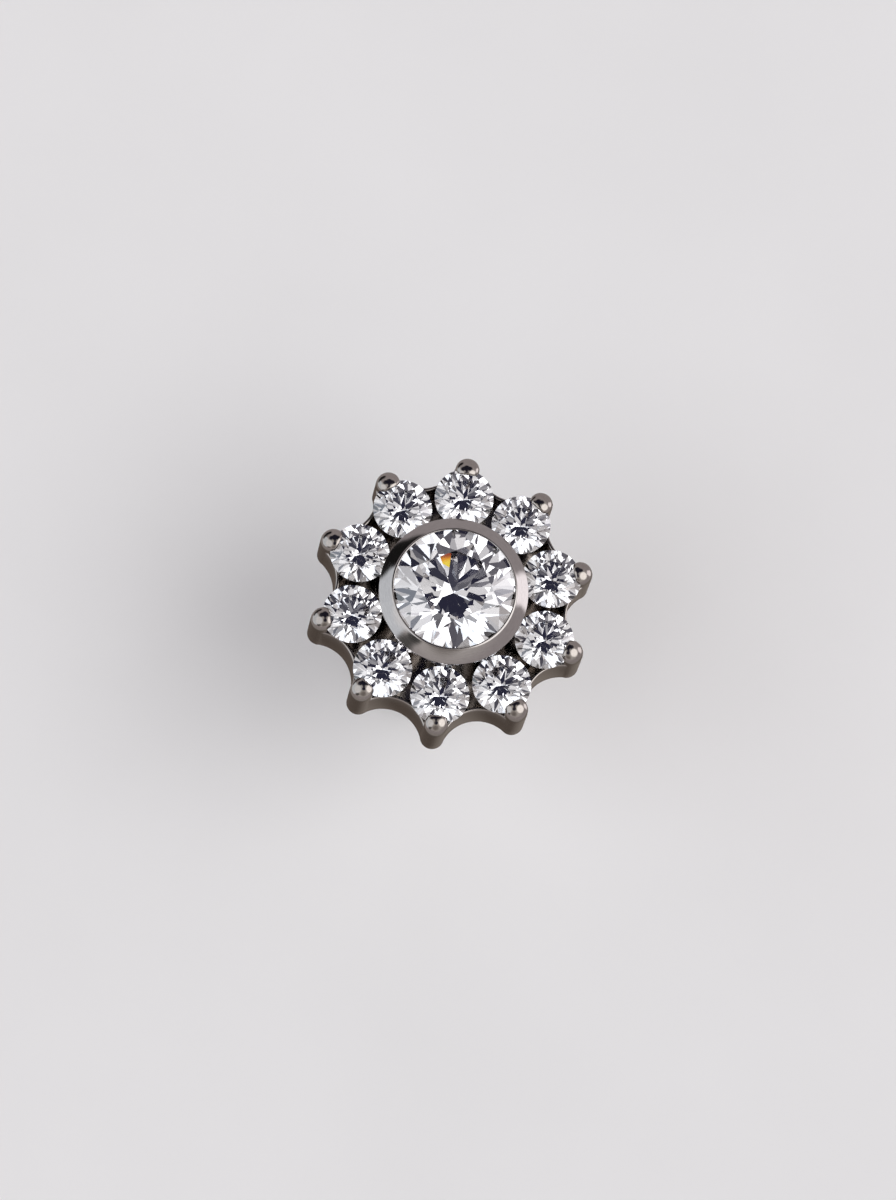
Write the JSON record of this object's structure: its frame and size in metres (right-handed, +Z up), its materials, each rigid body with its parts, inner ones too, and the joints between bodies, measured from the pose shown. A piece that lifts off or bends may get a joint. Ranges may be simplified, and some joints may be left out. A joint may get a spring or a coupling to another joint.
{
  "type": "ear stud",
  "caption": "Flower cluster ear stud: a bezel-set centre stone in a scalloped ring of prong-set stones, on a post with a flat back disc.",
  "frame": {"origin": "middle of the back disc's flat lower face, on which the stud stands", "axes": "+Z up along the post to the face of the flower; +X through the prong of stone_01"},
  "size_m": [0.0072, 0.0068, 0.0081],
  "materials": {
    "titanium": "warm grey titanium, polished with a fine satin grain",
    "stone": "clear colourless cubic zirconia, polished facets"
  },
  "bodies": {
    "root": {"setting": "titanium", "post": "titanium", "centre_stone": "stone", "stone_01": "stone", "stone_02": "stone", "stone_03": "stone", "stone_04": "stone", "stone_05": "stone", "stone_06": "stone", "stone_07": "stone", "stone_08": "stone", "stone_09": "stone", "stone_10": "stone"}
  },
  "joints": []
}
